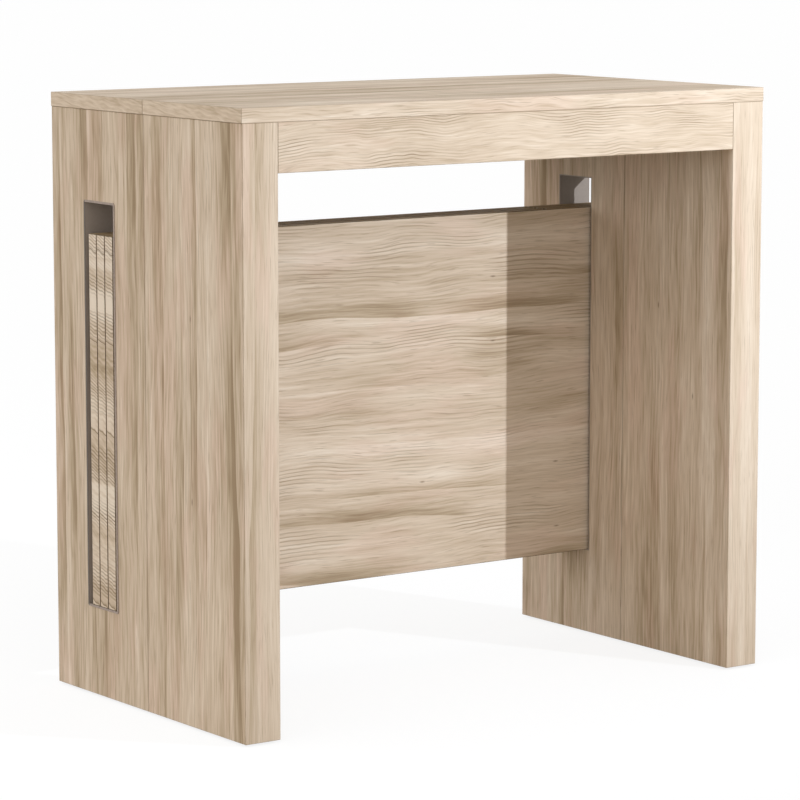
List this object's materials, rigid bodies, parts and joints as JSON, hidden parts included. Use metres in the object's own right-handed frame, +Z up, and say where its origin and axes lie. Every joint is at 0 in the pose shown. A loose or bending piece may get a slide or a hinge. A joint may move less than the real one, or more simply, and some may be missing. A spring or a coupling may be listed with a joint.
{
  "type": "extending console table",
  "caption": "Wood-grain console table that splits across its depth and draws out on telescopic aluminium rails, with its leaves stored upright in lined slots through the rear legs.",
  "frame": {"origin": "on the floor under the middle of the closed table", "axes": "+X along the width to the right as seen from the front, +Y to the rear, +Z up"},
  "size_m": [0.802, 0.44, 0.76],
  "materials": {
    "table_board": "pale oak-grain laminate, matt",
    "leaf_board": "pale oak-grain laminate, matt",
    "slot_liner": "dark warm grey, satin",
    "rail_aluminium": "satin anodised",
    "steel_hardware": "zinc plated",
    "nylon": "dark moulded nylon",
    "dowel_wood": "beech, unfinished"
  },
  "bodies": {
    "rear_frame": {"rear_top": "table_board", "rear_leg_left": "table_board", "rear_leg_right": "table_board", "rear_apron": "table_board", "rear_dowels": "dowel_wood", "rear_screws": "steel_hardware", "rear_corner_brackets": "steel_hardware", "rear_rail_brackets": "steel_hardware", "rear_rail_bolts": "steel_hardware", "rear_glides": "nylon", "seam_pins": "nylon", "slot_liner_left": "slot_liner", "slot_liner_right": "slot_liner", "rail_1_left": "rail_aluminium", "rail_1_right": "rail_aluminium", "rail_1_sliders": "nylon"},
    "front_frame": {"front_top": "table_board", "front_leg_left": "table_board", "front_leg_right": "table_board", "front_apron": "table_board", "front_dowels": "dowel_wood", "front_screws": "steel_hardware", "front_corner_brackets": "steel_hardware", "front_rail_brackets": "steel_hardware", "front_rail_bolts": "steel_hardware", "front_glides": "nylon", "rail_6_left": "rail_aluminium", "rail_6_right": "rail_aluminium", "rail_6_sliders": "nylon"},
    "rail_stage_2": {"rail_2_left": "rail_aluminium", "rail_2_right": "rail_aluminium", "rail_2_sliders": "nylon", "rail_2_crossbar": "rail_aluminium", "rail_2_screws": "steel_hardware"},
    "rail_stage_3": {"rail_3_left": "rail_aluminium", "rail_3_right": "rail_aluminium", "rail_3_sliders": "nylon", "rail_3_crossbar": "rail_aluminium", "rail_3_screws": "steel_hardware"},
    "rail_stage_4": {"rail_4_left": "rail_aluminium", "rail_4_right": "rail_aluminium", "rail_4_sliders": "nylon", "rail_4_crossbar": "rail_aluminium", "rail_4_screws": "steel_hardware"},
    "rail_stage_5": {"rail_5_left": "rail_aluminium", "rail_5_right": "rail_aluminium", "rail_5_sliders": "nylon", "rail_5_crossbar": "rail_aluminium", "rail_5_screws": "steel_hardware"},
    "front_leaf": {"leaf_front": "leaf_board"},
    "middle_leaf": {"leaf_middle": "leaf_board"},
    "rear_leaf": {"leaf_rear": "leaf_board"}
  },
  "joints": [
    {"name": "front_slide", "type": "slide", "parent": "rear_frame", "child": "front_frame", "axis": [0, -1, 0], "range_m": [0, 1.41]},
    {"name": "stage_2_slide", "type": "slide", "parent": "rear_frame", "child": "rail_stage_2", "axis": [0, -1, 0], "range_m": [0, 0.282]},
    {"name": "stage_3_slide", "type": "slide", "parent": "rear_frame", "child": "rail_stage_3", "axis": [0, -1, 0], "range_m": [0, 0.564]},
    {"name": "stage_4_slide", "type": "slide", "parent": "rear_frame", "child": "rail_stage_4", "axis": [0, -1, 0], "range_m": [0, 0.846]},
    {"name": "stage_5_slide", "type": "slide", "parent": "rear_frame", "child": "rail_stage_5", "axis": [0, -1, 0], "range_m": [0, 1.128]},
    {"name": "front_leaf_slide", "type": "slide", "parent": "rear_frame", "child": "front_leaf", "axis": [-1, 0, 0], "range_m": [0, 0.805]},
    {"name": "middle_leaf_slide", "type": "slide", "parent": "rear_frame", "child": "middle_leaf", "axis": [-1, 0, 0], "range_m": [0, 0.805]},
    {"name": "rear_leaf_slide", "type": "slide", "parent": "rear_frame", "child": "rear_leaf", "axis": [-1, 0, 0], "range_m": [0, 0.805]}
  ],
  "couplings": [
    {"joint": "stage_2_slide", "follows": "front_slide", "ratio": 0.2},
    {"joint": "stage_3_slide", "follows": "front_slide", "ratio": 0.4},
    {"joint": "stage_4_slide", "follows": "front_slide", "ratio": 0.6},
    {"joint": "stage_5_slide", "follows": "front_slide", "ratio": 0.8}
  ]
}
